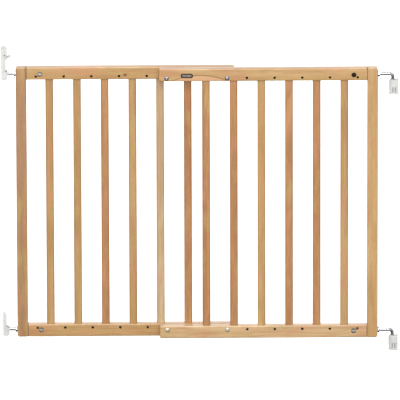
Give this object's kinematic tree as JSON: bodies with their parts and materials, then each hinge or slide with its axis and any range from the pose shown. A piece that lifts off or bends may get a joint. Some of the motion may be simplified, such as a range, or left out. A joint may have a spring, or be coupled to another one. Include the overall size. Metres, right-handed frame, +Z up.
{
  "type": "safety gate",
  "caption": "Extending wooden safety gate: two overlapping barred sections on bent hinge pins, with straight latch pins in white wall brackets and a sprung catch.",
  "frame": {"origin": "centre of the lower hinge bracket's wall face", "axes": "+X from the latch side to the hinge side and out of the hinge side's wall face, -Y towards the front of the gate, +Z up"},
  "size_m": [1.0045, 0.0548, 0.806],
  "materials": {
    "beech": "clear lacquered beech, satin",
    "pale_beech": "paler clear lacquered beech, satin",
    "white_plastic": "moulded white nylon, satin",
    "grey_nylon": "moulded natural nylon, satin",
    "chromed_steel": "bright chrome plate",
    "zinc_steel": "bright zinc plate",
    "dark_plate": "dark moulded plate, blank"
  },
  "bodies": {
    "hinge_brackets": {"hinge_bracket_top": "white_plastic", "hinge_bracket_bottom": "white_plastic"},
    "socket_bushes": {"socket_bush_top": "grey_nylon", "socket_bush_bottom": "grey_nylon"},
    "hinge_pins": {"hinge_pin_top": "chromed_steel", "hinge_pin_bottom": "chromed_steel"},
    "front_section": {"front_stile": "beech", "front_top_rail": "beech", "front_top_wood_dowel": "pale_beech", "front_top_cross_dowel": "zinc_steel", "front_top_lock_nut": "chromed_steel", "front_top_bolt": "chromed_steel", "front_top_dome_nut": "chromed_steel", "front_bottom_rail": "beech", "front_bottom_wood_dowel": "pale_beech", "front_bottom_cross_dowel": "zinc_steel", "front_bottom_lock_nut": "chromed_steel", "front_bottom_bolt": "chromed_steel", "front_bottom_dome_nut": "chromed_steel", "front_baluster_1": "beech", "front_baluster_2": "beech", "front_baluster_3": "beech", "front_baluster_4": "beech", "front_baluster_5": "beech", "front_baluster_6": "beech", "oval_plate": "dark_plate"},
    "rear_section": {"rear_stile": "beech", "rear_top_rail": "beech", "rear_top_wood_dowel": "pale_beech", "rear_top_cross_dowel": "zinc_steel", "rear_top_lock_nut": "chromed_steel", "rear_top_bolt": "chromed_steel", "rear_top_dome_nut": "chromed_steel", "rear_bottom_rail": "beech", "rear_bottom_wood_dowel": "pale_beech", "rear_bottom_cross_dowel": "zinc_steel", "rear_bottom_lock_nut": "chromed_steel", "rear_bottom_bolt": "chromed_steel", "rear_bottom_dome_nut": "chromed_steel", "rear_baluster_1": "beech", "rear_baluster_2": "beech", "rear_baluster_3": "beech", "rear_baluster_4": "beech", "rear_baluster_5": "pale_beech", "rear_baluster_6": "beech"},
    "latch_pins": {"latch_pin_top": "chromed_steel", "latch_pin_bottom": "chromed_steel"},
    "latch_brackets": {"latch_bracket_top": "white_plastic", "latch_bracket_bottom": "white_plastic", "catch_pivot": "zinc_steel", "catch_spring": "zinc_steel"},
    "catch": {"catch_lever": "white_plastic"}
  },
  "joints": [
    {"name": "gate_swing", "type": "hinge", "parent": "hinge_brackets", "child": "socket_bushes", "pos_m": [-0.014, 0, 0], "axis": [0, 0, 1], "range_deg": [-90, 90]},
    {"name": "gate_lift", "type": "slide", "parent": "socket_bushes", "child": "hinge_pins", "axis": [0, 0, 1], "range_m": [0, 0.012]},
    {"name": "width_trim", "type": "slide", "parent": "hinge_pins", "child": "front_section", "axis": [1, 0, 0], "range_m": [-0.008, 0.008]},
    {"name": "extension", "type": "slide", "parent": "front_section", "child": "rear_section", "axis": [1, 0, 0], "range_m": [0, 0.26], "deforming": ["front_top_bolt", "front_bottom_bolt", "rear_top_bolt", "rear_bottom_bolt"]},
    {"name": "latch_pin_trim", "type": "slide", "parent": "rear_section", "child": "latch_pins", "axis": [1, 0, 0], "range_m": [-0.008, 0.008]},
    {"name": "opening_width", "type": "slide", "parent": "hinge_brackets", "child": "latch_brackets", "axis": [1, 0, 0], "range_m": [0, 0.26]},
    {"name": "catch_turn", "type": "hinge", "parent": "latch_brackets", "child": "catch", "pos_m": [-0.995, 0.0206, 0.761], "axis": [0, 1, 0], "range_deg": [0, 6.5], "deforming": ["catch_spring"]}
  ],
  "couplings": [
    {"joint": "latch_pin_trim", "follows": "width_trim", "ratio": -1},
    {"joint": "opening_width", "follows": "extension", "ratio": 1},
    {"joint": "catch_turn", "follows": "gate_lift", "rad_per_m": 9.26}
  ]
}
